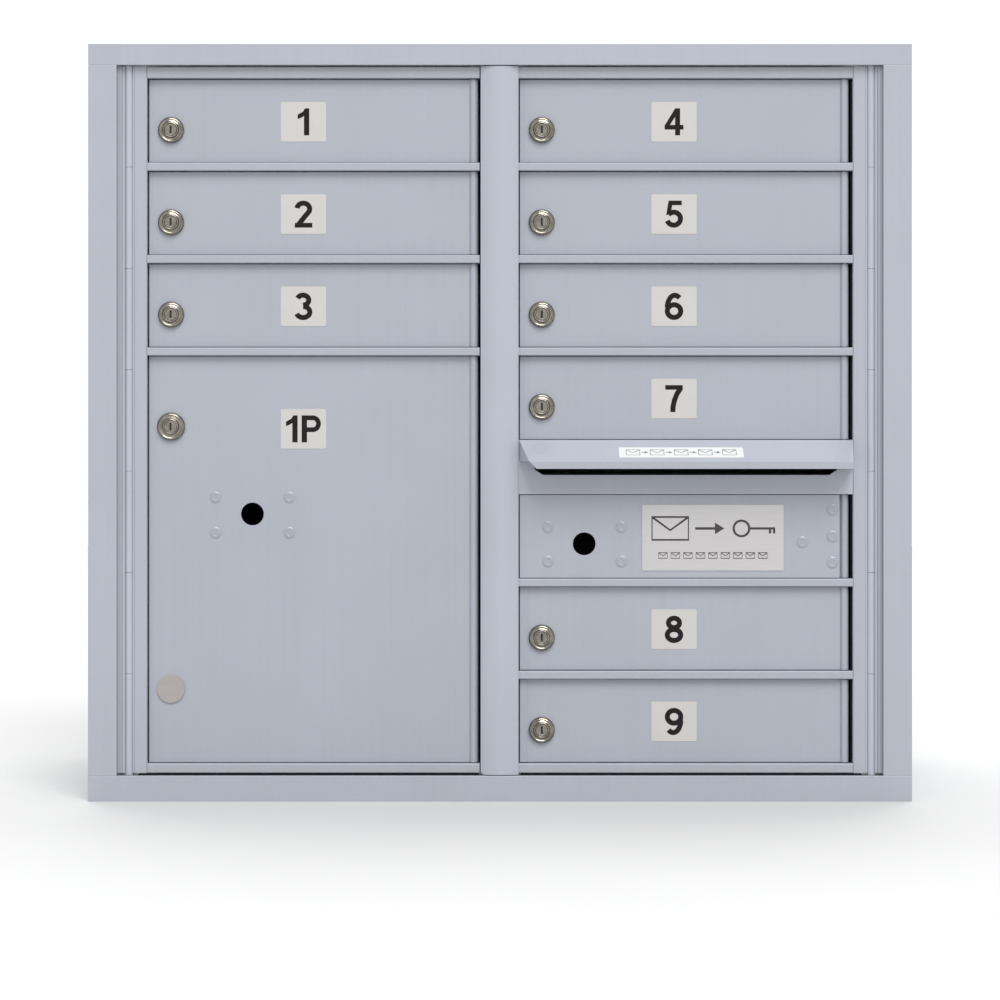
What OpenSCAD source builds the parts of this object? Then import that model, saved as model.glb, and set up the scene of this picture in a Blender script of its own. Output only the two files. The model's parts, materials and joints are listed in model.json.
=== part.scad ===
// Front-loading cluster mailbox unit: nine tenant doors, one parcel locker and an outgoing mail slot,
// hung on two master doors in a cabinet with a surface-mount collar.
// Origin: centre of the collar's underside. +X right, +Y towards the wall, +Z up. Millimetres.

/* [Overall] */
// Width across the collar
unit_w = 790.6; // [780:0.2:820]
// Depth from the wall to the front of the collar
unit_d = 454; // [440:1:480]
// Height from one row of doors to the next
door_pitch = 88.9; // [87:0.1:92]

/* [Collar] */
// Width of the collar's side faces
collar_face_w = 27.5; // [26:0.5:32]
// Height of the collar's bottom bar
collar_bottom_h = 24.4; // [22:0.2:30]
// Height of the collar's top bar
collar_top_h = 20.4; // [20:0.2:30]
// Thickness of the collar's sheet
collar_t = 2; // [1.5:0.1:2.5]
// How far the collar's inner edge is folded back
collar_lip_d = 6; // [5:0.5:10]

/* [Cabinet] */
// Thickness of the shelves and the partition
shelf_t = 1.5; // [1:0.1:2]
// Distance between the wall bolts, across
wall_bolts_x = 600; // [500:10:620]
// Distance between the wall bolts, upwards
wall_bolts_z = 530; // [500:5:540]
// Radius of the wall bolt holes
wall_bolt_r = 4; // [3:0.5:6]

/* [Master doors] */
// Width of the outer stiles
stile_w = 12.7; // [11.5:0.1:14]
// Width of the centre post
post_w = 35.6; // [35.6:0.2:40]
// Height of the rails between the doors
rail_h = 7.8; // [7:0.1:9]
// Height of the bottom rails
bottom_rail_h = 9.2; // [9:0.2:12]
// Height of the top rails
top_rail_h = 11.2; // [9:0.2:12]
// How far the centre post's front bulges
post_bulge = 4; // [2:0.5:4]

/* [Doors] */
// Thickness of the door panels
door_t = 3; // [2.5:0.1:3]
// How far the door faces sit behind the rails
door_setback = 7; // [6:0.5:7]
// Running gap above and below each door
door_gap = 0.7; // [0.5:0.1:1]
// Radius of the hinge barrels on the doors
barrel_r = 4.1; // [3.5:0.1:4.5]
// Radius of the hinge rods
hinge_rod_r = 1.5; // [1:0.1:1.8]

/* [Locks] */
// Radius of a tenant lock's bezel
lock_bezel_r = 12.7; // [12.2:0.1:13]
// Radius of the parcel lock's bezel
parcel_bezel_r = 13.6; // [12.2:0.1:15]
// Radius of the lock plugs
plug_r = 5.8; // [5:0.1:6]
// Length of a cam from its axis to its tip
cam_l = 29; // [27:0.5:29.5]
// Radius of the holes for the carrier's own locks
arrow_hole_r = 11; // [10:0.5:11.5]

/* [Outgoing mail] */
// How far the hood stands out from its plate
hood_d = 38; // [30:1:40]
// Width of the mail slot
slot_w = 291; // [260:1:292]
// Height of the mail slot
slot_h = 22; // [18:1:24]

/* [Hidden] */
$fn = 48;

coat = [0.70, 0.73, 0.77];
inner_coat = [0.62, 0.64, 0.67];
nickel = [0.75, 0.73, 0.70];
steel = [0.55, 0.56, 0.58];

cut = 0.1;
fit_gap = 0.05;

// Planes from front to back
front_y = -unit_d / 2;
back_y = unit_d / 2;
frame_y = front_y + 7;
frame_d = 22;
frame_back_y = frame_y + frame_d;
door_y = frame_y + door_setback;
carrier_door_y = frame_y + 1.5;
hinge_y = door_y + 1;
jamb_y = frame_y + 4;
shelf_y = frame_back_y + 12;

// Lines from the centre outwards
collar_in_x = unit_w / 2 - collar_face_w;
side_x = collar_in_x - 4.8;
side_t = 2;
jamb_x = collar_in_x - 10.8;
jamb_r = 4.4;
stile_out_x = jamb_x - 5;
stile_in_x = stile_out_x - stile_w;
post_x = post_w / 2;
post_left_x = post_x + 0.8;
free_edge_gap = 1.2;
hinge_edge_gap = 7.5;
master_gap = 1;
door_w = stile_in_x - post_x - free_edge_gap - hinge_edge_gap;
left_hinge_x = -post_x - hinge_edge_gap;
right_hinge_x = stile_in_x - hinge_edge_gap;
rear_stile_x = -post_left_x - master_gap;

// Heights
frame_z0 = collar_bottom_h + 2;
door_z0 = frame_z0 + bottom_rail_h + door_gap;
door_h = door_pitch - rail_h - 2 * door_gap;
top_row = 6.5;
frame_z1 = door_z0 + top_row * door_pitch + door_h + door_gap + top_rail_h;
collar_z1 = frame_z1 + 0.8;
unit_h = collar_z1 + collar_top_h;
floor_z = frame_z0 - shelf_t;
ceiling_z = frame_z1 + 0.25;
parcel_h = 4.5 * door_pitch - rail_h - 2 * door_gap;
parcel_hole_z = 239;
plate_z0 = door_z0 + 2 * door_pitch + door_h + door_gap;
plate_z1 = door_z0 + 3.5 * door_pitch - door_gap;

// Locks
lock_inset = 21.2;
lock_drop = 8.8;
lock_body_r = 9.4;
lock_body_l = 17;
cam_w = 9;
cam_t = 2.5;
rivet_r = 2.4;

// Master latch
lever_x = -4;
lever_z = door_z0 + 2 * door_pitch + door_h / 2;
crank_r = 8;
crank_swing = 35;
rod_w = 8;
rod_t = 3;
rod_y = frame_back_y + 2;
lever_y = rod_y + rod_t + 0.3;

function row_z(row) = door_z0 + row * door_pitch;
function rail_z(row) = row_z(row) - door_gap - rail_h;
function tenant_row(n) = n <= 3 ? 7.5 - n : n <= 7 ? 10.5 - n : 9 - n;
function tenant_hinge_x(n) = n <= 3 ? left_hinge_x : right_hinge_x;

// A box from its lowest corner to its highest
module span(low, high) {
    translate(low) cube(high - low);
}

// Children laid on a door's face, with their own Z pointing out of the face
module on_face(x, z, face_y = door_y) {
    translate([x, face_y, z]) rotate([90, 0, 0]) children();
}

// Upright bar with rounded front corners
module upright(x0, x1, z0, z1, r = 1.5) {
    translate([0, 0, z0]) linear_extrude(z1 - z0) {
        translate([x0, frame_y + r]) square([x1 - x0, frame_d - r]);
        translate([x0 + r, frame_y]) square([x1 - x0 - 2 * r, frame_d]);
        for (x = [x0 + r, x1 - r]) translate([x, frame_y + r]) circle(r);
    }
}

// Level bar with rounded front edges
module rail(x0, x1, z0, h, r = 1) {
    translate([x0, 0, z0]) rotate([90, 0, 90]) linear_extrude(x1 - x0) {
        translate([frame_y + r, 0]) square([frame_d - r, h]);
        translate([frame_y, r]) square([frame_d, h - 2 * r]);
        for (z = [r, h - r]) translate([frame_y + r, z]) circle(r);
    }
}

// ---- Collar ----

// Strip with its inner edge folded back and its outer edge running to the wall, along +X
module collar_bar(h) {
    span([-unit_w / 2, front_y, 0], [unit_w / 2, front_y + collar_t, h]);
    span([-unit_w / 2, front_y, 0], [unit_w / 2, back_y, collar_t]);
    span([-collar_in_x, front_y, h - collar_t], [collar_in_x, front_y + collar_lip_d, h]);
}

module collar_bottom() {
    color(coat) collar_bar(collar_bottom_h);
}

module collar_top() {
    color(coat) translate([0, 0, unit_h]) mirror([0, 0, 1]) collar_bar(collar_top_h);
}

module collar_sides() {
    outer_x = unit_w / 2;
    lip_x = collar_in_x + collar_t;
    face_y = front_y + collar_t;
    color(coat) both_sides() {
        span([collar_in_x, front_y, collar_bottom_h], [outer_x, face_y, collar_z1]);
        span([outer_x - collar_t, face_y, collar_t], [outer_x, back_y, unit_h - collar_t]);
        span([collar_in_x, front_y, collar_bottom_h], [lip_x, front_y + collar_lip_d, collar_z1]);
    }
}

// ---- Cabinet ----

module cabinet_back() {
    color(inner_coat) difference() {
        span([-side_x - side_t, back_y - 2, floor_z], [side_x + side_t, back_y, ceiling_z + shelf_t]);
        for (x = [-wall_bolts_x / 2, wall_bolts_x / 2], z = [-wall_bolts_z / 2, wall_bolts_z / 2])
            translate([x, back_y + cut, unit_h / 2 + z]) rotate([90, 0, 0])
                cylinder(r = wall_bolt_r, h = 3);
    }
}

// Side walls, each with a flange that meets the collar's folded edge
module cabinet_sides() {
    flange_y = front_y + collar_lip_d;
    color(inner_coat) both_sides() {
        span([side_x, flange_y, frame_z0], [side_x + side_t, back_y - 2, ceiling_z]);
        span([side_x, flange_y, frame_z0], [collar_in_x + 6, flange_y + side_t, ceiling_z]);
    }
}

// Hole in the floor or ceiling that a latch rod enters
module rod_hole(x, z) {
    span([x - 1, rod_y - 0.6, z - cut], [x + rod_w + 1, rod_y + rod_t + 0.6, z + shelf_t + cut]);
}

module cabinet_sheet(z) {
    span([-side_x - side_t, frame_back_y + 0.3, z], [side_x + side_t, back_y - 2, z + shelf_t]);
}

module cabinet_top() {
    color(inner_coat) difference() {
        cabinet_sheet(ceiling_z);
        rod_hole(upper_rod_x(), ceiling_z);
        translate([0, bolt_y - rod_y, 0]) rod_hole(bolt_x, ceiling_z);
    }
}

module cabinet_floor() {
    color(inner_coat) difference() {
        cabinet_sheet(floor_z);
        rod_hole(lower_rod_x(), floor_z);
    }
}

// Two box-section bearers that carry the cabinet inside the collar
module cabinet_bearers() {
    wall = 2;
    low = collar_t;
    for (x = [-250, 250]) translate([x, 0, 0]) color(steel) difference() {
        span([-20, frame_back_y + 10, low], [20, back_y - 30, floor_z]);
        span([-20 + wall, frame_back_y, low + wall], [20 - wall, back_y, floor_z - wall]);
    }
}

module centre_partition() {
    color(inner_coat)
        span([-shelf_t / 2, shelf_y, frame_z0], [shelf_t / 2, back_y - 2, ceiling_z]);
}

module shelves(x0, x1, rows) {
    for (row = rows) {
        z = rail_z(row) + rail_h / 2;
        span([x0, shelf_y, z - shelf_t / 2], [x1, back_y - 2, z + shelf_t / 2]);
    }
}

module left_shelves() {
    color(inner_coat) shelves(-side_x, -shelf_t / 2, [4.5, 5.5, 6.5]);
}

module right_shelves() {
    color(inner_coat) shelves(shelf_t / 2, side_x, [1, 2, 3.5, 4.5, 5.5, 6.5]);
}

// ---- Hinges of the master doors ----

knuckles = 7;
knuckle_gap = 0.3;
knuckle_l = (collar_z1 - collar_bottom_h) / knuckles;

// One knuckle of the jamb hinge, with a web that reaches to web_x
module knuckle(i, web_x) {
    z0 = collar_bottom_h + i * knuckle_l + knuckle_gap / 2;
    z1 = z0 + knuckle_l - knuckle_gap;
    difference() {
        union() {
            translate([jamb_x, jamb_y, z0]) cylinder(r = jamb_r, h = z1 - z0);
            span([min(jamb_x, web_x), jamb_y - 1.2, z0], [max(jamb_x, web_x), jamb_y + 1.2, z1]);
        }
        translate([jamb_x, jamb_y, z0 - cut])
            cylinder(r = hinge_rod_r + fit_gap, h = z1 - z0 + 2 * cut);
    }
}

module both_sides() {
    children();
    mirror([1, 0, 0]) children();
}

// Thin edge beside the hinge that closes the groove between x and the knuckles' flank
module groove_edge(x0, x1, z1) {
    span([x0, jamb_y - 3.3, frame_z0], [x1, jamb_y - 2.6, z1]);
}

// Fixed leaves on the cabinet's sides with their four knuckles each
module jamb_hinge_knuckles() {
    color(coat) both_sides() {
        span([side_x - 1, jamb_y - 3.3, frame_z0], [side_x, frame_back_y, ceiling_z]);
        groove_edge(jamb_x + 3.8, side_x - 0.5, ceiling_z);
        for (i = [0 : 2 : knuckles - 1]) knuckle(i, side_x - 0.5);
    }
}

module jamb_hinge_pins() {
    color(steel) both_sides() translate([jamb_x, jamb_y, collar_bottom_h])
        cylinder(r = hinge_rod_r, h = collar_z1 - collar_bottom_h);
}

module master_stile() {
    upright(stile_in_x, stile_out_x, frame_z0, frame_z1);
    groove_edge(stile_out_x - 1, jamb_x - 3.8, frame_z1);
    for (i = [1 : 2 : knuckles - 1]) knuckle(i, stile_out_x - 0.5);
}

// ---- Master doors ----

module left_master_stile() {
    color(coat) mirror([1, 0, 0]) master_stile();
}

module right_master_stile() {
    color(coat) master_stile();
}

module hinge_rod_at(x, r) {
    translate([x, hinge_y, frame_z0 + 1]) cylinder(r = r, h = frame_z1 - frame_z0 - 2);
}

module master_rails(x0, x1, hinge_x, rows) {
    color(coat) difference() {
        union() {
            rail(x0, x1, frame_z0, bottom_rail_h);
            rail(x0, x1, frame_z1 - top_rail_h, top_rail_h);
            for (row = rows) rail(x0, x1, rail_z(row), rail_h);
        }
        hinge_rod_at(hinge_x, hinge_rod_r + fit_gap);
    }
}

module left_master_rails() {
    master_rails(-stile_in_x, rear_stile_x, left_hinge_x, [4.5, 5.5, 6.5]);
}

module right_master_rails() {
    master_rails(post_x, stile_in_x, right_hinge_x, [1, 2, 4.5, 5.5, 6.5]);
}

module left_door_hinge_rod() {
    color(steel) hinge_rod_at(left_hinge_x, hinge_rod_r);
}

module right_door_hinge_rod() {
    color(steel) hinge_rod_at(right_hinge_x, hinge_rod_r);
}

// Flat bar that closes the left master door behind its doors' barrels, with the bolt's keepers
rear_stile_w = 11;
rear_stile_t = 4;
bolt_w = 6;
bolt_x = rear_stile_x - rear_stile_w / 2 - bolt_w / 2;
bolt_y = frame_back_y + rear_stile_t + 0.3;
bolt_l = 100;
bolt_top_z = frame_z1 - 1;
bolt_travel = 9;

module left_rear_stile() {
    x1 = rear_stile_x;
    x0 = x1 - rear_stile_w;
    y1 = frame_back_y + rear_stile_t;
    keeper_h = 8;
    color(coat) {
        span([x0, frame_back_y, frame_z0], [x1, y1, frame_z1]);
        for (z = [bolt_top_z - 30, bolt_top_z - 75]) difference() {
            span([bolt_x - 2, y1, z], [bolt_x + bolt_w + 2, y1 + rod_t + 2, z + keeper_h]);
            span([bolt_x - 0.3, y1 - cut, z - cut],
                [bolt_x + bolt_w + 0.3, y1 + rod_t + 0.6, z + keeper_h + cut]);
        }
    }
}

// Bolt that slides up into the cabinet's ceiling, with a turned-out thumb tab
module left_master_bolt() {
    z0 = bolt_top_z - bolt_l;
    color(steel) {
        span([bolt_x, bolt_y, z0], [bolt_x + bolt_w, bolt_y + rod_t, bolt_top_z]);
        span([bolt_x, bolt_y, z0], [bolt_x + bolt_w, shelf_y - 1.5, z0 + 2]);
    }
}

// Hollow post with a bulged front and a rounded lower corner where it meets the left door
module centre_post() {
    wall = 3;
    corner_r = 4;
    bulge_r = (post_x * post_x + post_bulge * post_bulge) / (2 * post_bulge);
    crest_y = frame_y - 2 - post_bulge;
    z0 = frame_z0 - 1.2;
    color(coat) difference() {
        intersection() {
            translate([0, 0, z0]) linear_extrude(frame_z1 - z0) intersection() {
                translate([0, crest_y + bulge_r]) circle(bulge_r, $fn = 96);
                translate([-post_left_x, crest_y])
                    square([post_left_x + post_x, frame_back_y - crest_y]);
            }
            translate([0, back_y, 0]) rotate([90, 0, 0]) linear_extrude(unit_d + 20) {
                translate([-post_left_x, z0 + corner_r]) square([post_w + 1, unit_h]);
                translate([-post_left_x + corner_r, z0]) square([post_w + 1 - corner_r, unit_h]);
                translate([-post_left_x + corner_r, z0 + corner_r]) circle(corner_r);
            }
        }
        span([-post_x + wall, frame_y + wall, z0 - cut],
            [post_x - wall, frame_back_y - wall, frame_z1 + cut]);
        translate([lever_x, frame_back_y + cut, lever_z]) rotate([90, 0, 0])
            cylinder(r = lever_shaft_r + fit_gap, h = wall + 2 * cut);
    }
}

// ---- Outgoing mail hood and its slotted plate ----

hood_t = 2.5;
hood_left_bevel = 9.3;
hood_right_bevel = 3.5;
hood_lip_h = 7.1;
hood_x0 = post_x + 0.6;
hood_x1 = stile_in_x;
hood_lip_z = plate_z1 - 27.3;
slot_z0 = plate_z1 - 33.7;
slot_bevel_w = 7.7;
slot_bevel_h = 5.2;

// The wedge under the hood, grown inwards by inset
module hood_wedge(inset) {
    y0 = frame_y - hood_d + inset;
    z1 = plate_z1 - 1.2 * inset;
    lip_top = hood_lip_z + hood_lip_h - 0.6 * inset;
    base_z = inset > 0 ? hood_lip_z - cut : hood_lip_z;
    left_slope = hood_left_bevel / hood_d;
    right_slope = hood_right_bevel / hood_d;
    intersection() {
        translate([hood_x0, 0, 0]) rotate([90, 0, 90]) linear_extrude(hood_x1 - hood_x0)
            polygon([[frame_y + 1, base_z], [y0, base_z], [y0, lip_top], [frame_y, z1],
                [frame_y + 1, z1]]);
        translate([0, 0, hood_lip_z - 1]) linear_extrude(plate_z1)
            polygon([
                [hood_x0 + inset - left_slope, frame_y + 1],
                [hood_x0 + inset + hood_left_bevel, frame_y - hood_d],
                [hood_x1 - inset - hood_right_bevel, frame_y - hood_d],
                [hood_x1 - inset + right_slope, frame_y + 1]
            ]);
    }
}

// The hood's outline from the front, with the lip's left corner cut off
module hood_outline() {
    fold_z = hood_lip_z + hood_lip_h;
    corner_x = hood_x0 + hood_left_bevel;
    translate([0, frame_y + 2, 0]) rotate([90, 0, 0]) linear_extrude(hood_d + 4)
        polygon([
            [hood_x0 - 2, plate_z1 + 1], [hood_x0 - 2, fold_z], [corner_x, fold_z],
            [corner_x + hood_lip_h + 1, hood_lip_z - 1], [hood_x1 + 2, hood_lip_z - 1],
            [hood_x1 + 2, plate_z1 + 1]
        ]);
}

module mail_slot() {
    x0 = (hood_x0 + hood_x1 - slot_w) / 2;
    x1 = x0 + slot_w;
    translate([0, frame_y + 5, 0]) rotate([90, 0, 0]) linear_extrude(5 + cut)
        polygon([
            [x0 + slot_bevel_w, slot_z0], [x1 - slot_bevel_w, slot_z0],
            [x1, slot_z0 + slot_bevel_h], [x1, slot_z0 + slot_h],
            [x0, slot_z0 + slot_h], [x0, slot_z0 + slot_bevel_h]
        ]);
}

module outgoing_hood() {
    color(coat) difference() {
        union() {
            span([post_x, frame_y, plate_z0], [stile_in_x, frame_y + hood_t, plate_z1]);
            span([post_x, frame_y, plate_z0], [stile_in_x, frame_back_y, plate_z0 + hood_t]);
            span([post_x, frame_y, plate_z1 - hood_t], [stile_in_x, frame_back_y, plate_z1]);
            difference() {
                intersection() {
                    hood_wedge(0);
                    hood_outline();
                }
                hood_wedge(hood_t);
            }
        }
        mail_slot();
        hinge_rod_at(right_hinge_x, hinge_rod_r + fit_gap);
    }
}

// ---- Latch that holds the right master door ----

lever_shaft_r = 3;
crank_pin_r = 1.5;
lever_t = 3;
handle_l = 60;
crank_drop = crank_r * sin(crank_swing);
rod_inset = 3.2;
slot_half_h = crank_pin_r + 0.3;
slot_low = crank_r * cos(crank_swing) - crank_pin_r - 0.3;
slot_high = crank_r + crank_pin_r + 0.3;

function upper_rod_x() = lever_x + rod_inset;
function lower_rod_x() = lever_x - rod_inset - rod_w;

// Hub with a shaft in the post, two crank pins and a handle, in its released position
module latch_lever() {
    color(steel) translate([lever_x, 0, lever_z]) rotate([0, crank_swing, 0]) {
        translate([0, lever_y + lever_t, 0]) rotate([90, 0, 0]) linear_extrude(lever_t) {
            circle(crank_r + 4);
            translate([0, -4.5]) square([handle_l, 9]);
            translate([handle_l, 0]) circle(4.5);
        }
        translate([0, lever_y + cut, 0]) rotate([90, 0, 0])
            cylinder(r = lever_shaft_r, h = lever_y + cut - frame_back_y + 3.5);
        for (s = [-1, 1]) translate([s * crank_r, lever_y + cut, 0]) rotate([90, 0, 0])
            cylinder(r = crank_pin_r, h = rod_t + cut);
        translate([handle_l, lever_y + lever_t + 5, 0]) rotate([90, 0, 0])
            cylinder(r = 4, h = 5 + cut);
    }
}

// The slot in a rod that a crank pin works in
module crank_slot(side, pin_z) {
    x0 = min(side * slot_low, side * slot_high);
    x1 = max(side * slot_low, side * slot_high);
    span([lever_x + x0, rod_y - cut, pin_z - slot_half_h],
        [lever_x + x1, rod_y + rod_t + cut, pin_z + slot_half_h]);
}

module upper_latch_rod() {
    pin_z = lever_z - crank_drop;
    color(steel) difference() {
        span([upper_rod_x(), rod_y, pin_z - 4], [upper_rod_x() + rod_w, rod_y + rod_t, frame_z1 - 1]);
        crank_slot(1, pin_z);
    }
}

module lower_latch_rod() {
    pin_z = lever_z + crank_drop;
    color(steel) difference() {
        span([lower_rod_x(), rod_y, frame_z0 + 1], [lower_rod_x() + rod_w, rod_y + rod_t, pin_z + 4]);
        crank_slot(-1, pin_z);
    }
}

module latch_guide(x, z) {
    gap = 0.3;
    wall = 1.6;
    difference() {
        span([x - gap - wall, frame_back_y, z],
            [x + rod_w + gap + wall, rod_y + rod_t + gap + wall, z + 10]);
        span([x - gap, rod_y - gap, z - cut], [x + rod_w + gap, rod_y + rod_t + gap, z + 10 + cut]);
    }
}

module latch_guides() {
    color(coat) {
        for (z = [lever_z + 70, lever_z + 350]) latch_guide(upper_rod_x(), z);
        for (z = [lever_z - 145, lever_z - 50]) latch_guide(lower_rod_x(), z);
    }
}

// ---- Doors ----

// Folded panel with a hinge barrel on its right, drawn from the hinge line and the bottom edge.
// face_y is the plane of its front. hem is the width of the raised strip along its free edge.
module door_panel(h, face_y = door_y, hem = 0) {
    lip_t = 1.6;
    lip_y = door_y + 10;
    hem_t = 0.8;
    step_x = face_y < door_y ? -barrel_r - 1.5 : 0;
    difference() {
        union() {
            span([-door_w, face_y, 0], [step_x, face_y + door_t, h]);
            span([-door_w, face_y, 0], [-door_w + lip_t, lip_y, h]);
            for (z = [0, h - lip_t])
                span([-door_w, face_y, z], [-12, lip_y, z + lip_t]);
            if (hem > 0)
                span([-door_w, face_y - hem_t, 0], [-door_w + hem, face_y + 1, h]);
            if (step_x < 0) {
                span([step_x - lip_t, face_y, 0], [step_x, door_y + door_t, h]);
                span([step_x - lip_t, door_y, 0], [0, door_y + door_t, h]);
            }
            translate([0, hinge_y, 0]) cylinder(r = barrel_r, h = h);
        }
        translate([0, hinge_y, -cut]) cylinder(r = hinge_rod_r + fit_gap, h = h + 2 * cut);
    }
}

module lock_hole(x, z, r, face_y = door_y) {
    on_face(x, z, face_y) translate([0, 0, -door_t - 1]) cylinder(r = r, h = door_t + 2);
}

// Bezel with a raised rim round the plug, on a body that passes through the door to its nut
module lock_housing(bezel_r) {
    bore_r = plug_r + fit_gap;
    nut_h = 3.5;
    rotate_extrude() polygon([
        [bore_r, 6.4], [bore_r + 0.6, 7], [bore_r + 1.5, 6.8], [bore_r + 2.2, 5],
        [bezel_r - 3.2, 4.4], [bezel_r - 2.2, 4.9], [bezel_r - 1, 4.2], [bezel_r - 0.2, 2.6],
        [bezel_r, 1], [bezel_r, 0], [lock_body_r, 0], [lock_body_r, -lock_body_l],
        [bore_r, -lock_body_l]
    ]);
    translate([0, 0, -door_t - nut_h]) difference() {
        cylinder(r = 12.6, h = nut_h, $fn = 6);
        translate([0, 0, -cut]) cylinder(r = lock_body_r + fit_gap, h = nut_h + 2 * cut);
    }
}

// Plug with a keyway, and the cam hanging down on its back as when the door is unlocked
module lock_cylinder() {
    cam_z = -lock_body_l - 1;
    difference() {
        translate([0, 0, cam_z]) cylinder(r = plug_r, h = 6 - cam_z);
        translate([-0.9, -3.8, 3.5]) cube([1.8, 7.6, 3]);
    }
    translate([0, 0, cam_z - cam_t]) linear_extrude(cam_t) {
        circle(7);
        translate([-cam_w / 2, -cam_l]) square([cam_w, cam_l]);
    }
    translate([0, 0, cam_z - cam_t - 2]) cylinder(r = 4, h = 2 + cut);
}

function lock_x(hinge_x) = hinge_x - door_w + lock_inset;
function tenant_lock_z(n) = row_z(tenant_row(n)) + door_h / 2 - lock_drop;

// The two lowest doors have a hemmed free edge
module tenant_door(n) {
    hinge_x = tenant_hinge_x(n);
    color(coat) difference() {
        translate([hinge_x, 0, row_z(tenant_row(n))]) door_panel(door_h, hem = n > 7 ? 7 : 0);
        lock_hole(lock_x(hinge_x), tenant_lock_z(n), lock_body_r + fit_gap);
    }
}

module tenant_lock_housing(n) {
    color(nickel) on_face(lock_x(tenant_hinge_x(n)), tenant_lock_z(n)) lock_housing(lock_bezel_r);
}

module tenant_lock_cylinder(n) {
    color(nickel) on_face(lock_x(tenant_hinge_x(n)), tenant_lock_z(n)) lock_cylinder();
}

// Rivet with a low dimpled head, through a panel and the bracket behind it
module rivet(bracket_t) {
    rotate_extrude() polygon([
        [0, 0], [5.6, 0], [5.6, 0.3], [4.8, 0.75], [3, 0.9], [1.8, 0.45], [1.1, 0.6], [0, 0.7]
    ]);
    translate([0, 0, -door_t - bracket_t]) cylinder(r = rivet_r, h = door_t + bracket_t + cut);
    translate([0, 0, -door_t - bracket_t - 1.5]) cylinder(r = 4, h = 1.5);
}

// Bracket for a lock of the carrier's own, with a clear window round the lock hole
module lock_bracket(w, h, rivets) {
    bracket_t = 2.5;
    translate([0, 0, -door_t - bracket_t]) difference() {
        translate([-w / 2, -h / 2, 0]) cube([w, h, bracket_t]);
        translate([0, 0, -cut]) cylinder(r = arrow_hole_r + 3, h = bracket_t + 2 * cut);
        for (p = rivets) translate([p[0], p[1], -cut])
            cylinder(r = rivet_r + fit_gap, h = bracket_t + 2 * cut);
    }
    for (p = rivets) translate([p[0], p[1], 0]) rivet(bracket_t);
}

// ---- Parcel locker door ----

parcel_lock_z = door_z0 + parcel_h - 67.6;
parcel_hole_x = left_hinge_x - door_w + 99.5;
parcel_plug_z = door_z0 + 70.5;
parcel_rivets = [for (x = [-35.5, 35.5], z = [-18, 16]) [x, z]];

module parcel_door() {
    color(coat) difference() {
        translate([left_hinge_x, 0, door_z0]) door_panel(parcel_h);
        lock_hole(lock_x(left_hinge_x), parcel_lock_z, lock_body_r + fit_gap);
        lock_hole(lock_x(left_hinge_x), parcel_plug_z, lock_body_r + fit_gap);
        lock_hole(parcel_hole_x, door_z0 + parcel_hole_z, arrow_hole_r);
        for (p = parcel_rivets)
            lock_hole(parcel_hole_x + p[0], door_z0 + parcel_hole_z + p[1], rivet_r + fit_gap);
    }
}

module parcel_lock_housing() {
    color(nickel) on_face(lock_x(left_hinge_x), parcel_lock_z) lock_housing(parcel_bezel_r);
}

module parcel_lock_cylinder() {
    color(nickel) on_face(lock_x(left_hinge_x), parcel_lock_z) lock_cylinder();
}

// Bracket and rivets of the carrier's lock, and the plug that closes the spare lock hole
module parcel_door_fittings() {
    color(steel) on_face(parcel_hole_x, door_z0 + parcel_hole_z)
        lock_bracket(88, 50, parcel_rivets);
    color(nickel) on_face(lock_x(left_hinge_x), parcel_plug_z) {
        cylinder(r = 13.4, h = 1.8);
        translate([0, 0, -door_t - 4]) cylinder(r = lock_body_r, h = door_t + 4 + cut);
        translate([0, 0, -door_t - 2]) difference() {
            cylinder(r = 12, h = 2);
            translate([0, 0, -cut]) cylinder(r = lock_body_r + fit_gap, h = 2 + 2 * cut);
        }
    }
}

// ---- Carrier's door below the outgoing slot ----

carrier_z = door_z0 + 2 * door_pitch;
carrier_hole_x = right_hinge_x - door_w + 62;
carrier_hole_z = carrier_z + 32.7;
carrier_rivets = [for (x = [-34.8, 35.8], z = [-17, 16]) [x, z]];
carrier_trim_rivets = [[210, 1.5], [238.8, 32.5], [238.8, 7], [238.8, -18]];

module carrier_door() {
    color(coat) difference() {
        translate([right_hinge_x, 0, carrier_z]) door_panel(door_h, carrier_door_y);
        lock_hole(carrier_hole_x, carrier_hole_z, arrow_hole_r, carrier_door_y);
        for (p = concat(carrier_rivets, carrier_trim_rivets))
            lock_hole(carrier_hole_x + p[0], carrier_hole_z + p[1], rivet_r + fit_gap,
                carrier_door_y);
    }
}

module carrier_door_fittings() {
    color(coat) on_face(carrier_hole_x, carrier_hole_z, carrier_door_y) {
        lock_bracket(88, 50, carrier_rivets);
        for (p = carrier_trim_rivets) translate([p[0], p[1], 0]) rivet(0);
    }
}

collar_top();
collar_bottom();
collar_sides();
cabinet_back();
cabinet_sides();
cabinet_top();
cabinet_floor();
cabinet_bearers();
centre_partition();
left_shelves();
right_shelves();
jamb_hinge_knuckles();
jamb_hinge_pins();
left_master_stile();
left_master_rails();
left_rear_stile();
left_door_hinge_rod();
left_master_bolt();
centre_post();
right_master_stile();
right_master_rails();
right_door_hinge_rod();
outgoing_hood();
latch_lever();
upper_latch_rod();
lower_latch_rod();
latch_guides();
parcel_door();
parcel_lock_housing();
parcel_lock_cylinder();
parcel_door_fittings();
carrier_door();
carrier_door_fittings();
for (n = [1 : 9]) {
    tenant_door(n);
    tenant_lock_housing(n);
    tenant_lock_cylinder(n);
}
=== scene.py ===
"""Looks for the cluster mailbox unit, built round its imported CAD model. Metres, in the CAD frame."""
import json
import math

import bmesh
import bpy
from mathutils import Matrix, Vector


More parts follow.
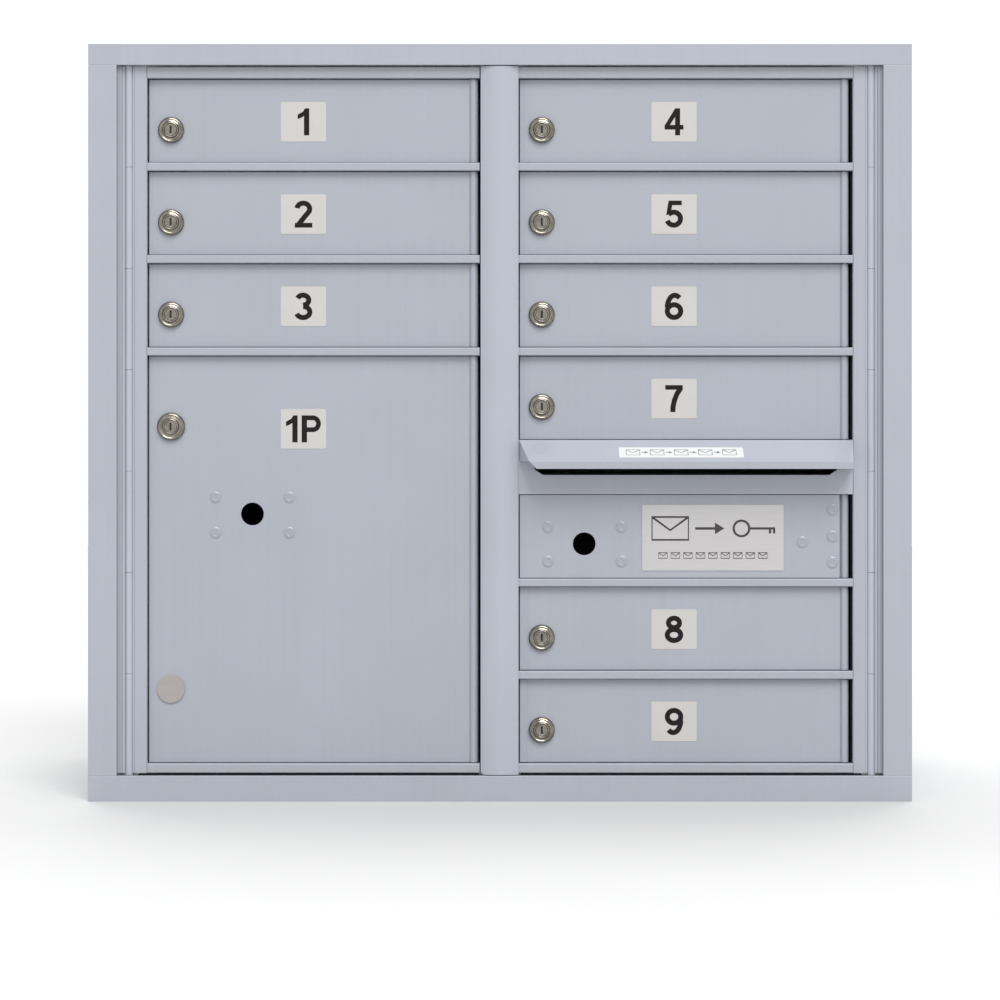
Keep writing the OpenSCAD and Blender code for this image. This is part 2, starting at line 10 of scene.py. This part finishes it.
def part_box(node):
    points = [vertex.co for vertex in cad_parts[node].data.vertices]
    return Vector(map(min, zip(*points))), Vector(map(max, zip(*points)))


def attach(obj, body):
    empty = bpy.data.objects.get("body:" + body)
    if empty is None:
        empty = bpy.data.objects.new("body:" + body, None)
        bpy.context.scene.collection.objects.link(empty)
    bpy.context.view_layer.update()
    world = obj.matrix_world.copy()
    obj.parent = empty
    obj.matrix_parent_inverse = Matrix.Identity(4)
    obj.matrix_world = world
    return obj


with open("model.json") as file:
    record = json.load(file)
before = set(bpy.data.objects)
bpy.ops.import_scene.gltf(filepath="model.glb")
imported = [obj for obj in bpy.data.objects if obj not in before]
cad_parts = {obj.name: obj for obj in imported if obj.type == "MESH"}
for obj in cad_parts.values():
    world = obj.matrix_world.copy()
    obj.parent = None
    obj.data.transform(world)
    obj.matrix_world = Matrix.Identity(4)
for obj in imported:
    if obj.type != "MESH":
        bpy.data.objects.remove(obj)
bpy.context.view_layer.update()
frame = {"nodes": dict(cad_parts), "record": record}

# Lengths are in metres. Outlines of flat pieces, and sizes given without MM, are in millimetres.
MM = 0.001

# Edges of coated and of plated parts, and the height of ink above what it is printed on
COAT_EDGE = 0.35 * MM
METAL_EDGE = 0.2 * MM
INK_T = 0.05 * MM
STROKE_STEP = 0.012 * MM

# Distances on the doors, from the front of the barrel, the free edge and the foot
FACE_BACK = 3.1 * MM
LABEL_IN = 148.7 * MM
LABEL_SIZE = (43.8, 38.4)
LABEL_DROP = 0.8 * MM
DIGIT_H = 26
PARCEL_LABEL_DROP = 69.8 * MM

# The metal plate on the carrier's door and the strip on the hood
PLATE_SIZE = (136.2, 63.6)
PLATE_IN = 185.7 * MM
PLATE_UP = 38.5 * MM
STRIP_SIZE = (118.6, 20)
STRIP_IN = 155.1 * MM
STRIP_DOWN = 25.5 * MM
HOOD_DEPTH = 38 * MM
HOOD_DROP = 20.2 * MM

# Slot in a lock's plug: width and height, and how far the painted shadow at its bottom lies behind the
# plug's front
KEYWAY_SIZE = (1.74, 7.54)
KEYWAY_DEPTH = 1.3 * MM

# Facing the viewer: local X to the right, local Y up, local Z out of the door
UPRIGHT = Matrix.Rotation(math.radians(90), 4, "X")


# ---------------------------------------------------------------- materials

def material(name, color, roughness, metallic=0.0):
    """A node material; returns it with its node tree, main shader and object coordinates."""
    mat = bpy.data.materials.new(name)
    mat.use_nodes = True
    tree = mat.node_tree
    shader = tree.nodes["Principled BSDF"]
    shader.inputs["Base Color"].default_value = (*color, 1)
    shader.inputs["Roughness"].default_value = roughness
    shader.inputs["Metallic"].default_value = metallic
    coords = tree.nodes.new("ShaderNodeTexCoord").outputs["Object"]
    return mat, tree, shader, coords


def noise(tree, coords, scale, detail=2.0):
    """Noise over the object, with the given features per metre along each axis."""
    mapping = tree.nodes.new("ShaderNodeMapping")
    mapping.inputs["Scale"].default_value = scale if isinstance(scale, tuple) else (scale,) * 3
    tree.links.new(coords, mapping.inputs["Vector"])
    node = tree.nodes.new("ShaderNodeTexNoise")
    node.inputs["Scale"].default_value = 1.0
    node.inputs["Detail"].default_value = detail
    tree.links.new(mapping.outputs["Vector"], node.inputs["Vector"])
    return node.outputs["Fac"]


def spread(tree, value, low, high):
    """The value's middle range spread between two numbers."""
    node = tree.nodes.new("ShaderNodeMapRange")
    node.inputs["From Min"].default_value = 0.3
    node.inputs["From Max"].default_value = 0.7
    node.inputs["To Min"].default_value = low
    node.inputs["To Max"].default_value = high
    tree.links.new(value, node.inputs["Value"])
    return node.outputs["Result"]


def shades(tree, value, low, high):
    """The value's middle range spread between two colours."""
    node = tree.nodes.new("ShaderNodeValToRGB")
    node.color_ramp.elements[0].position = 0.3
    node.color_ramp.elements[1].position = 0.7
    node.color_ramp.elements[0].color = (*low, 1)
    node.color_ramp.elements[1].color = (*high, 1)
    tree.links.new(value, node.inputs["Fac"])
    return node.outputs["Color"]


def blended(tree, a, b, share):
    """a and b mixed, with b's share."""
    node = tree.nodes.new("ShaderNodeMix")
    node.data_type = "FLOAT"
    node.inputs["Factor"].default_value = share
    tree.links.new(a, node.inputs["A"])
    tree.links.new(b, node.inputs["B"])
    return node.outputs["Result"]


def bump(tree, shader, height, depth, strength):
    node = tree.nodes.new("ShaderNodeBump")
    node.inputs["Strength"].default_value = strength
    node.inputs["Distance"].default_value = depth
    tree.links.new(height, node.inputs["Height"])
    tree.links.new(node.outputs["Normal"], shader.inputs["Normal"])


def tint(color, factor):
    return tuple(c * factor for c in color)


def powder_coat(name, color, roughness=0.4):
    """Baked paint: a soft mottle, faint upright draw lines and an orange-peel surface."""
    mat, tree, shader, coords = material(name, color, roughness, 0.1)
    mottle = noise(tree, coords, 9, 3)
    draw = noise(tree, coords, (240, 240, 3), 2)
    shade = blended(tree, mottle, draw, 0.35)
    tree.links.new(shades(tree, shade, tint(color, 0.965), tint(color, 1.03)),
                   shader.inputs["Base Color"])
    peel = noise(tree, coords, 620, 2)
    grain = noise(tree, coords, 2600, 1)
    tree.links.new(spread(tree, grain, roughness - 0.05, roughness + 0.06),
                   shader.inputs["Roughness"])
    bump(tree, shader, blended(tree, peel, grain, 0.3), 0.06 * MM, 0.35)
    shader.inputs["Coat Weight"].default_value = 0.1
    shader.inputs["Coat Roughness"].default_value = 0.25
    return mat


def plated_metal(name, color, roughness):
    """Plated, lightly worn metal with fine turning marks and a patchy tone."""
    mat, tree, shader, coords = material(name, color, roughness, 1.0)
    patches = noise(tree, coords, 190, 4)
    marks = noise(tree, coords, 1800, 2)
    tree.links.new(shades(tree, patches, tint(color, 0.72), tint(color, 1.15)),
                   shader.inputs["Base Color"])
    tree.links.new(spread(tree, marks, roughness - 0.08, roughness + 0.1),
                   shader.inputs["Roughness"])
    bump(tree, shader, marks, 0.03 * MM, 0.6)
    return mat


def brushed_metal(name, color, roughness):
    """Sheet metal brushed along X."""
    mat, tree, shader, coords = material(name, color, roughness, 0.6)
    lines = noise(tree, coords, (40, 3000, 3000), 3)
    tree.links.new(shades(tree, lines, tint(color, 0.93), tint(color, 1.05)),
                   shader.inputs["Base Color"])
    tree.links.new(spread(tree, lines, roughness - 0.06, roughness + 0.08),
                   shader.inputs["Roughness"])
    bump(tree, shader, lines, 0.03 * MM, 0.5)
    return mat


def printed_film(name, color, roughness):
    """Matt label film with a faint grain and slight yellowing."""
    mat, tree, shader, coords = material(name, color, roughness)
    aged = noise(tree, coords, 45, 3)
    yellowed = (color[0] * 0.99, color[1] * 0.98, color[2] * 0.95)
    tree.links.new(shades(tree, aged, yellowed, tint(color, 1.01)), shader.inputs["Base Color"])
    bump(tree, shader, noise(tree, coords, 1500, 2), 0.02 * MM, 0.4)
    return mat


def dull(name, color, roughness=0.6):
    """Ink, or the black that paints shade in gaps and keyways: a flat colour, a little uneven."""
    mat, tree, shader, coords = material(name, color, roughness)
    patches = noise(tree, coords, 700, 2)
    tree.links.new(shades(tree, patches, tint(color, 0.8), tint(color, 1.3)),
                   shader.inputs["Base Color"])
    shader.inputs["Specular IOR Level"].default_value = 0.2
    return mat


COAT_COLOR = (0.312, 0.330, 0.373)
COAT = powder_coat("powder_coat", COAT_COLOR)
# Painted light: a lighter copy of the coat makes the collar and the master doors' stiles brighter than
# the doors
TRIM_LIT_COAT = powder_coat("trim_painted_light", tint(COAT_COLOR, 1.05), 0.36)
# Painted highlight: a lighter copy of the coat for the centre post, standing in for the light along
# its rounded front
POST_HIGHLIGHT_COAT = powder_coat("post_painted_highlight", tint(COAT_COLOR, 1.12), 0.32)
# Painted highlight: a lighter copy of the coat for the hinge knuckles beside the doors
KNUCKLE_HIGHLIGHT_COAT = powder_coat("knuckle_painted_highlight", tint(COAT_COLOR, 1.2), 0.32)
# Painted light: a lighter copy of the coat for the hood's slope, which faces the light, and the plate
# below it, in the hood's shadow
HOOD_LIT_COAT = powder_coat("hood_painted_light", tint(COAT_COLOR, 1.2), 0.36)
# Painted shade: a darker copy of the coat for the rivet heads, standing in for the shade round them
RIVET_SHADE_COAT = powder_coat("rivet_painted_shade", tint(COAT_COLOR, 0.93), 0.28)
INNER_COAT = powder_coat("cabinet_coat", (0.285, 0.30, 0.335), 0.5)
NICKEL = plated_metal("nickel", (0.27, 0.25, 0.215), 0.2)
ZINC = plated_metal("zinc_steel", (0.36, 0.365, 0.37), 0.36)
BLANK_METAL = brushed_metal("blank_metal", (0.36, 0.335, 0.32), 0.4)
FILM = printed_film("label_film", (0.452, 0.442, 0.432), 0.55)
STRIP_FILM = printed_film("strip_film", (0.66, 0.665, 0.67), 0.5)
PLATE_METAL = brushed_metal("plate_metal", (0.49, 0.48, 0.48), 0.45)
INK = dull("label_ink", (0.008, 0.007, 0.008), 0.8)
PLATE_INK = dull("plate_ink", (0.045, 0.042, 0.042))
STRIP_INK = dull("strip_ink", (0.20, 0.205, 0.215))
KEYWAY_SHADE_DARK = dull("keyway_shadow", (0.03, 0.027, 0.022))
# Painted shade: black for strips set in the gaps, standing in for the shade deep inside them
GAP_SHADE_BLACK = dull("gap_painted_shade", (0.006, 0.006, 0.007), 0.9)


# ---------------------------------------------------------------- CAD nodes

def dress(node, mat, edge):
    """Gives a CAD node its material and breaks its sharp edges, as paint or plating does."""
    obj = frame["nodes"][node]
    obj.data.materials.clear()
    obj.data.materials.append(mat)
    smallest_edge = 0.002 * MM
    flat_angle = math.radians(0.5)
    sharp_angle = math.radians(40)
    weld = obj.modifiers.new("weld", "WELD")
    weld.merge_threshold = smallest_edge
    flat = obj.modifiers.new("flat_faces", "DECIMATE")
    flat.decimate_type = "DISSOLVE"
    flat.angle_limit = flat_angle
    bevel = obj.modifiers.new("broken_edges", "BEVEL")
    bevel.width = edge
    bevel.segments = 2
    bevel.limit_method = "ANGLE"
    bevel.angle_limit = sharp_angle
    normals = obj.modifiers.new("normals", "WEIGHTED_NORMAL")
    normals.keep_sharp = True


def dress_all():
    """Each node in the coat of its slot, apart from those with lighter copies of the coat, which paint
    light, and the carrier's rivets, whose darker copy paints shade.
    """
    coats = {"powder_coat": COAT, "cabinet_coat": INNER_COAT, "zinc_steel": ZINC, "nickel": NICKEL}
    lit_and_shaded_coats = {"collar_top": TRIM_LIT_COAT, "collar_bottom": TRIM_LIT_COAT, "collar_sides": TRIM_LIT_COAT,
                 "jamb_hinge_knuckles": KNUCKLE_HIGHLIGHT_COAT, "centre_post": POST_HIGHLIGHT_COAT,
                 "left_master_stile": TRIM_LIT_COAT, "right_master_stile": TRIM_LIT_COAT,
                 "outgoing_hood": HOOD_LIT_COAT, "carrier_door_fittings": RIVET_SHADE_COAT}
    for part in frame["record"]["subparts"]:
        node = part["node"]
        mat = lit_and_shaded_coats.get(node, coats[part["material_slot"]])
        dress(node, mat, METAL_EDGE if mat == NICKEL else COAT_EDGE)


def dress_moving_knuckles():
    """The knuckles on the master doors' stiles, which look the same as the fixed ones, in the lighter
    copy of the coat that paints a highlight.
    """
    rod_to_knuckles = 19 * MM
    hinge_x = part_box("right_door_hinge_rod")[1].x + rod_to_knuckles
    for node in ("left_master_stile", "right_master_stile"):
        obj = frame["nodes"][node]
        obj.data.materials.append(KNUCKLE_HIGHLIGHT_COAT)
        for polygon in obj.data.polygons:
            if abs((obj.matrix_world @ polygon.center).x) > hinge_x:
                polygon.material_index = 1


def dress_hood_lip():
    """The hood's upright lip keeps the doors' coat; the slope and the plate below keep the lighter
    copy that paints light on the slope and into the hood's shadow.
    """
    obj = frame["nodes"]["outgoing_hood"]
    obj.data.materials.append(COAT)
    lip_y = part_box("outgoing_hood")[0].y + 0.1 * MM
    for polygon in obj.data.polygons:
        if (obj.matrix_world @ polygon.center).y < lip_y:
            polygon.material_index = 1


def dress_parcel_fittings():
    """Painted rivet heads and a bare metal blanking plug on the front, zinc plate behind."""
    obj = frame["nodes"]["parcel_door_fittings"]
    # The rivet heads get the darker copy of the coat that paints shade round them.
    obj.data.materials.append(RIVET_SHADE_COAT)
    obj.data.materials.append(BLANK_METAL)
    plug_w = 28 * MM
    face_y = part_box("parcel_door")[0].y + FACE_BACK
    low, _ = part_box("parcel_door_fittings")
    for polygon in obj.data.polygons:
        centre = obj.matrix_world @ polygon.center
        if centre.x < low.x + plug_w and centre.z < low.z + plug_w:
            polygon.material_index = 2
        elif centre.y < face_y:
            polygon.material_index = 1


# ---------------------------------------------------------------- flat pieces

def rounded(w, h, r, steps=6):
    """Round-cornered rectangle about the origin."""
    points = []
    for sx, sy, start in ((1, 1, 0), (-1, 1, 90), (-1, -1, 180), (1, -1, 270)):
        for i in range(steps + 1):
            a = math.radians(start + 90 * i / steps)
            points.append((sx * (w / 2 - r) + r * math.cos(a),
                           sy * (h / 2 - r) + r * math.sin(a)))
    return points


def arc(cx, cy, rx, ry, start, end, steps=22):
    """Points on an ellipse from one angle to another, in degrees."""
    angles = [math.radians(start + (end - start) * i / steps) for i in range(steps + 1)]
    return [(cx + rx * math.cos(a), cy + ry * math.sin(a)) for a in angles]


def ribbon(points, width, closed=False):
    """A stroke of constant width, as a list of four-sided faces."""
    count = len(points)
    sides = []
    for i, (x, y) in enumerate(points):
        before = points[(i - 1) % count] if closed or i else points[0]
        after = points[(i + 1) % count] if closed or i < count - 1 else points[-1]
        dx, dy = after[0] - before[0], after[1] - before[1]
        k = width / 2 / math.hypot(dx, dy)
        sides.append(((x - dy * k, y + dx * k), (x + dy * k, y - dx * k)))
    pairs = list(zip(sides, sides[1:]))
    if closed:
        pairs.append((sides[-1], sides[0]))
    return [[a[0], a[1], b[1], b[0]] for a, b in pairs]


def scaled(strokes, k, dx=0.0, dy=0.0):
    return [[[(x * k + dx, y * k + dy) for x, y in face] for face in stroke] for stroke in strokes]


def stroke_mesh(stroke, height, edge):
    """One stroke in millimetres, raised to height. edge is a bevel round its top."""
    bm = bmesh.new()
    for face in stroke:
        bm.faces.new([bm.verts.new((x * MM, y * MM, 0)) for x, y in face])
    bmesh.ops.remove_doubles(bm, verts=bm.verts, dist=0.01 * MM)
    bmesh.ops.recalc_face_normals(bm, faces=bm.faces)
    raised = bmesh.ops.extrude_face_region(bm, geom=bm.faces[:])
    tops = [v for v in raised["geom"] if isinstance(v, bmesh.types.BMVert)]
    bmesh.ops.translate(bm, vec=(0, 0, height), verts=tops)
    bmesh.ops.recalc_face_normals(bm, faces=bm.faces)
    if edge:
        top = set(tops)
        rim = [e for e in bm.edges if e.verts[0] in top and e.verts[1] in top]
        bmesh.ops.bevel(bm, geom=rim, offset=edge, segments=2, affect="EDGES")
    mesh = bpy.data.meshes.new("stroke")
    bm.to_mesh(mesh)
    bm.free()
    return mesh


def flat_piece(name, strokes, thickness, place, mat, body, edge=0.0):
    """Strokes laid at place, each a hair higher than the one before so that they never fight."""
    bm = bmesh.new()
    for i, stroke in enumerate(strokes):
        part = stroke_mesh(stroke, thickness + i * STROKE_STEP, edge)
        bm.from_mesh(part)
        bpy.data.meshes.remove(part)
    bmesh.ops.transform(bm, matrix=place, verts=bm.verts)
    mesh = bpy.data.meshes.new(name)
    bm.to_mesh(mesh)
    bm.free()
    mesh.materials.append(mat)
    obj = bpy.data.objects.new(name, mesh)
    bpy.context.scene.collection.objects.link(obj)
    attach(obj, body)
    return obj


def at(x, y, z):
    return Matrix.Translation((x, y, z)) @ UPRIGHT


# ---------------------------------------------------------------- numbers

# Bold upright figures on a height of 1, as lists of strokes that are mostly BAR wide
BAR = 0.19
FIGURE_STEP = 0.68
SIX = [ribbon(arc(0.345, 0.325, 0.25, 0.235, 0, 345, 24), BAR, closed=True),
       ribbon(arc(0.375, 0.44, 0.28, 0.47, 178, 52), BAR)]
GLYPHS = {
    "1": [[[(0.335, 0), (0.53, 0), (0.53, 1), (0.37, 1), (0.30, 0.88), (0.10, 0.765), (0.10, 0.6),
            (0.23, 0.65), (0.335, 0.72)]]],
    "2": [ribbon(arc(0.325, 0.69, 0.235, 0.215, 172, -28) + [(0.34, 0.36), (0.14, 0.1)], BAR),
          [[(0, 0), (0.66, 0), (0.66, 0.175), (0.02, 0.175)]]],
    "3": [ribbon(arc(0.32, 0.73, 0.215, 0.185, 158, -90), BAR),
          ribbon(arc(0.325, 0.29, 0.25, 0.205, 90, -162), BAR)],
    "4": [[[(0.39, 0), (0.575, 0), (0.575, 1), (0.39, 1)]],
          [[(0, 0.215), (0.7, 0.215), (0.7, 0.385), (0, 0.385)]],
          [[(0, 0.36), (0.18, 0.36), (0.41, 0.71), (0.41, 1), (0.39, 1)]]],
    "5": [[[(0.13, 0.83), (0.62, 0.83), (0.62, 1), (0.13, 1)]],
          [[(0.045, 0.46), (0.21, 0.5), (0.275, 0.87), (0.13, 0.97)]],
          ribbon(arc(0.325, 0.33, 0.25, 0.24, 142, -162), BAR)],
    "6": SIX,
    "7": [[[(0.01, 0.83), (0.66, 0.83), (0.66, 1), (0.01, 1)]],
          ribbon([(0.58, 0.88), (0.45, 0.69), (0.35, 0.44), (0.3, 0.2), (0.29, 0)], BAR)],
    "8": [ribbon(arc(0.34, 0.735, 0.205, 0.175, 0, 345, 24), BAR, closed=True),
          ribbon(arc(0.34, 0.29, 0.25, 0.205, 0, 345, 24), BAR, closed=True)],
    "9": [[[(0.69 - x, 1 - y) for x, y in face] for face in stroke] for stroke in SIX],
    "P": [[[(0, 0), (0.2, 0), (0.2, 1), (0, 1)]],
          ribbon([(0.1, 0.91), (0.4, 0.91)] + arc(0.42, 0.69, 0.205, 0.22, 88, -88)
                 + [(0.4, 0.47), (0.1, 0.47)], BAR * 0.93)],
}


def number_strokes(text):
    """The figures of text side by side, centred, in millimetres."""
    strokes = []
    x = 0.0
    for figure in text:
        strokes += scaled(GLYPHS[figure], 1.0, x)
        x += FIGURE_STEP
    xs = [px for stroke in strokes for face in stroke for px, _ in face]
    middle = (min(xs) + max(xs)) / 2
    return scaled(strokes, DIGIT_H, -middle * DIGIT_H, -DIGIT_H / 2)


def number_label(name, text, x, y, z, body):
    """A label's film with its figures, centred on a point of a door's face."""
    film_t = 0.35 * MM
    flat_piece(f"label_{name}", [[rounded(*LABEL_SIZE, 1.6)]], film_t, at(x, y, z), FILM,
               body, 0.12 * MM)
    flat_piece(f"number_{name}", number_strokes(text), INK_T, at(x, y - film_t, z), INK,
               body)


def labels():
    """A number on each tenant door and on the parcel door."""
    for n in range(1, 10):
        low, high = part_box(f"tenant_door_{n}")
        number_label(str(n), str(n), low.x + LABEL_IN, low.y + FACE_BACK,
                     (low.z + high.z) / 2 - LABEL_DROP, f"door_{n}")
    low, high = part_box("parcel_door")
    number_label("parcel", "1P", low.x + LABEL_IN, low.y + FACE_BACK, high.z - PARCEL_LABEL_DROP,
                 "parcel")


# ---------------------------------------------------------------- pictograms

def envelope(w, h, line):
    """Outline of a closed envelope with its flap."""
    x, y = w / 2, h / 2
    outline = ribbon([(-x, -y), (x, -y), (x, y), (-x, y)], line, closed=True)
    return [outline, ribbon([(-x, y), (0, -h * 0.08), (x, y)], line)]


def arrow(length, head, line):
    """Arrow to the right about its middle."""
    tip = length / 2
    return [ribbon([(-tip, 0), (tip - head * 0.8, 0)], line),
            [[(tip, 0), (tip - head, head * 0.62), (tip - head, -head * 0.62)]]]


def key(length, bow, line):
    """A key lying on its side, bow on the left."""
    x0, x1 = -length / 2, length / 2
    teeth = [ribbon([(x1 - d, -line / 2), (x1 - d, -line * 2.2)], line)
             for d in (line * 0.5, line * 2.3)]
    return [ribbon(arc(x0 + bow, 0, bow, bow, 0, 345, 24), line, closed=True),
            ribbon([(x0 + 2 * bow, 0), (x1, 0)], line)] + teeth


def moved(strokes, dx, dy):
    return scaled(strokes, 1.0, dx, dy)


def carrier_plate():
    """The metal plate with an envelope, an arrow and a key above a row of small envelopes."""
    low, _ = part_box("carrier_door")
    x, y, z = low.x + PLATE_IN, low.y, low.z + PLATE_UP
    plate_t = 0.8 * MM
    signs_y = 9
    row_x, row_y, pitch = -48, -17, 12
    flat_piece("carrier_plate", [[rounded(*PLATE_SIZE, 1.2)]], plate_t, at(x, y, z), PLATE_METAL,
               "carrier", 0.3 * MM)
    signs = {
        "envelope": moved(envelope(35, 22, 2.0), -41, signs_y),
        "arrow": moved(arrow(28, 9, 2.4), -3, signs_y),
        "key": moved(key(40, 7.5, 2.2), 40, signs_y),
        "row": [stroke for i in range(9)
                for stroke in moved(envelope(8.4, 5.4, 0.8), row_x + pitch * i, row_y)],
    }
    for name, strokes in signs.items():
        flat_piece(f"plate_sign_{name}", strokes, INK_T, at(x, y - plate_t, z), PLATE_INK,
                   "carrier")


def hood_strip():
    """The white strip on the hood's slope, with envelopes and arrows in turn."""
    low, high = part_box("outgoing_hood")
    slope = math.atan2(HOOD_DROP, HOOD_DEPTH)
    top = Vector((low.x + STRIP_IN, low.y + HOOD_DEPTH, high.z))
    centre = top + STRIP_DOWN * Vector((0, -math.cos(slope), -math.sin(slope)))
    place = Matrix.Translation(centre) @ Matrix.Rotation(slope, 4, "X")
    strip_t = 0.25 * MM
    ink_t = 0.04 * MM
    pitch = 23
    flat_piece("hood_strip", [[rounded(*STRIP_SIZE, 0.6)]], strip_t, place, STRIP_FILM,
               "right_master_door", 0.08 * MM)
    signs = []
    for i in range(-2, 3):
        signs += moved(envelope(13, 10.4, 1.0), pitch * i, 0)
    for i in range(-2, 2):
        signs += moved(arrow(6.4, 3.6, 1.0), pitch * (i + 0.5), 0)
    flat_piece("hood_strip_signs", signs, ink_t, place @ Matrix.Translation((0, 0, strip_t)),
               STRIP_INK, "right_master_door")


# ---------------------------------------------------------------- small details

def keyways():
    """A dark sheet at the bottom of each lock's keyway, painting the shade deep in the slot."""
    names = [(f"lock_housing_{n}", f"lock_cylinder_{n}", f"cylinder_{n}") for n in range(1, 10)]
    names.append(("parcel_lock_housing", "parcel_lock_cylinder", "parcel_cylinder"))
    for housing, cylinder, body in names:
        low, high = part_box(housing)
        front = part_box(cylinder)[0].y
        place = at((low.x + high.x) / 2, front + KEYWAY_DEPTH, (low.z + high.z) / 2)
        flat_piece(f"keyway_{body}", [[rounded(*KEYWAY_SIZE, 0.2)]], 0.3 * MM, place, KEYWAY_SHADE_DARK,
                   body)


def strip_box(name, low, high, body):
    """Black strip, as of foam, between two corners: it paints the shade deep in a gap."""
    w, h = (high.x - low.x) / MM, (high.z - low.z) / MM
    place = at((low.x + high.x) / 2, high.y, (low.z + high.z) / 2)
    flat_piece(name, [[rounded(w, h, min(w, h) * 0.3)]], high.y - low.y, place, GAP_SHADE_BLACK, body)


def barrel_seals():
    """Black strips on the left master door, behind the gaps beside its small doors' barrels, painting
    the shade in the gaps.
    """
    gap = 0.6 * MM
    depth = 6 * MM
    rear_low, rear_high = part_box("left_rear_stile")
    doors = {f"door_{n}": f"tenant_door_{n}" for n in (1, 2, 3)}
    doors["parcel"] = "parcel_door"
    for name, node in doors.items():
        low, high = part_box(node)
        strip_box(f"seal_{name}", Vector((high.x + gap, rear_low.y - depth, low.z)),
                  Vector((rear_high.x, rear_low.y, high.z)), "left_master_door")


def right_door_seals():
    """Black strips on the right master door, at the carrier's door's free edge and along the outer
    stile, painting the shade in the gaps there.
    """
    low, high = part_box("carrier_door")
    post_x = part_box("centre_post")[1].x
    gap = 0.1 * MM
    front, back = 0.5 * MM, 4 * MM
    strip_box("seal_carrier_edge", Vector((post_x, low.y + front, low.z)),
              Vector((low.x - gap, low.y + back, high.z)), "right_master_door")
    thickness = 1.6 * MM
    front, back = 3 * MM, 17 * MM
    stile_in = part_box("right_master_rails")[1].x
    for name in ["carrier_door"] + [f"tenant_door_{n}" for n in range(4, 10)]:
        low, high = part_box(name)
        strip_box(f"seal_{name}", Vector((stile_in - thickness, low.y + front, low.z)),
                  Vector((stile_in, low.y + back, high.z)), "right_master_door")


def sill_seals():
    """Black strips behind the collar's lower lip, just under the master doors' bottom rails, painting
    the shade in the gap there.
    """
    lip_d, lip_h = 6 * MM, 2 * MM
    depth = 6 * MM
    under_rails = 0.5 * MM
    beside_post = 1.7 * MM
    far_x = 348 * MM
    collar_low, collar_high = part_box("collar_bottom")
    lip_y = collar_low.y + lip_d
    post_low, post_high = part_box("centre_post")
    rails_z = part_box("left_master_rails")[0].z
    for name, x0, x1 in (("left", -far_x, post_low.x - beside_post),
                         ("right", post_high.x + beside_post, far_x)):
        strip_box(f"seal_sill_{name}", Vector((x0, lip_y, collar_high.z - lip_h)),
                  Vector((x1, lip_y + depth, rails_z - under_rails)), "root")


# ---------------------------------------------------------------- stage

def studio_paint(name, tone):
    """Matt paint for the floor and the backdrop."""
    mat, tree, shader, coords = material(name, (tone,) * 3, 0.9)
    tree.links.new(shades(tree, noise(tree, coords, 3, 2), (tone - 0.005,) * 3, (tone + 0.005,) * 3),
                   shader.inputs["Base Color"])
    shader.inputs["Specular IOR Level"].default_value = 0.1
    return mat


def stage():
    """Pale floor that curves up into a backdrop far enough back for a view from behind."""
    front_y, bend_y, bend_r, top_z, half_w = -10.0, 6.0, 1.5, 4.0, 12.0
    sweep = [(front_y, 0.0), (bend_y, 0.0)]
    for i in range(1, 13):
        a = math.radians(90 * i / 12)
        sweep.append((bend_y + bend_r * math.sin(a), bend_r * (1 - math.cos(a))))
    sweep.append((bend_y + bend_r, top_z))
    bm = bmesh.new()
    rows = [[bm.verts.new((x, y, z)) for x in (-half_w, half_w)] for y, z in sweep]
    for i, (a, b) in enumerate(zip(rows, rows[1:])):
        face = bm.faces.new((a[0], a[1], b[1], b[0]))
        face.smooth = True
        face.material_index = min(i, 1)
    mesh = bpy.data.meshes.new("studio_sweep")
    bm.to_mesh(mesh)
    bm.free()
    mesh.materials.append(studio_paint("studio_floor", 0.545))
    mesh.materials.append(studio_paint("studio_backdrop", 0.93))
    floor = bpy.data.objects.new("studio_sweep", mesh)
    bpy.context.scene.collection.objects.link(floor)


def soft_light(name, energy, angle, toward):
    """A distant light that comes from toward; a larger angle gives softer shadows."""
    data = bpy.data.lights.new(name, "SUN")
    data.energy = energy
    data.angle = math.radians(angle)
    light = bpy.data.objects.new(name, data)
    light.rotation_euler = Vector(toward).to_track_quat("Z", "Y").to_euler()
    bpy.context.scene.collection.objects.link(light)


def lights():
    """White surroundings, a soft key and fill from the viewer's side and a wide light from behind."""
    world = bpy.data.worlds.new("studio")
    world.use_nodes = True
    world.node_tree.nodes["Background"].inputs["Color"].default_value = (1, 1, 1, 1)
    world.node_tree.nodes["Background"].inputs["Strength"].default_value = 0.75
    bpy.context.scene.world = world
    soft_light("key", 2.5, 36, (0.2, -1.0, 1.1))
    soft_light("fill", 0.3, 70, (0.2, -1.0, 0.1))
    soft_light("top", 1.85, 40, (0.0, 0.51, 1.0))
    bpy.context.scene.view_settings.view_transform = "Standard"


def camera():
    """A long lens straight before the unit's front, level with the middle of its height."""
    front = 3.0
    look_z = 0.363
    data = bpy.data.cameras.new("camera")
    data.sensor_width = 36
    data.lens = 112.59
    data.shift_y = -0.0770
    data.clip_end = 50
    cam = bpy.data.objects.new("camera", data)
    cam.location = (0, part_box("collar_bottom")[0].y - front, look_z)
    cam.rotation_euler = (math.radians(90), 0, 0)
    bpy.context.scene.collection.objects.link(cam)
    bpy.context.scene.camera = cam


camera()
lights()
stage()
dress_all()
dress_moving_knuckles()
dress_hood_lip()
dress_parcel_fittings()
labels()
carrier_plate()
hood_strip()
keyways()
barrel_seals()
right_door_seals()
sill_seals()
